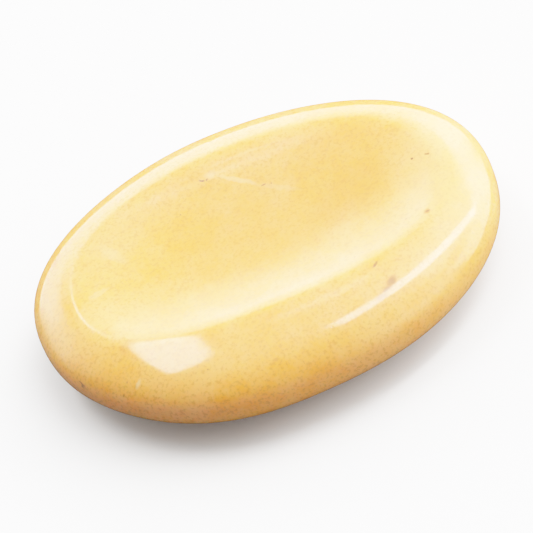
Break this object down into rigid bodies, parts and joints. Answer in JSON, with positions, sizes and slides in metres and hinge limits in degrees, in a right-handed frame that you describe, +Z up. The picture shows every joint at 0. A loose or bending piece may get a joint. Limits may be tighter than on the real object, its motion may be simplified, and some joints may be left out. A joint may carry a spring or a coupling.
{
  "type": "worry stone",
  "caption": "Oval palm-sized polished stone, a pillow shape with a shallow thumb dish in its upper face and a small flat spot underneath to rest on.",
  "frame": {"origin": "on the flat spot underneath, at the middle of the outline's box seen from above", "axes": "+Z up out of the thumb dish, +X along the stone's length, +Y across it, away from the picture's camera"},
  "size_m": [0.045, 0.0342, 0.0093],
  "materials": {
    "aventurine": "polished"
  },
  "bodies": {
    "root": {"stone": "aventurine"}
  },
  "joints": []
}
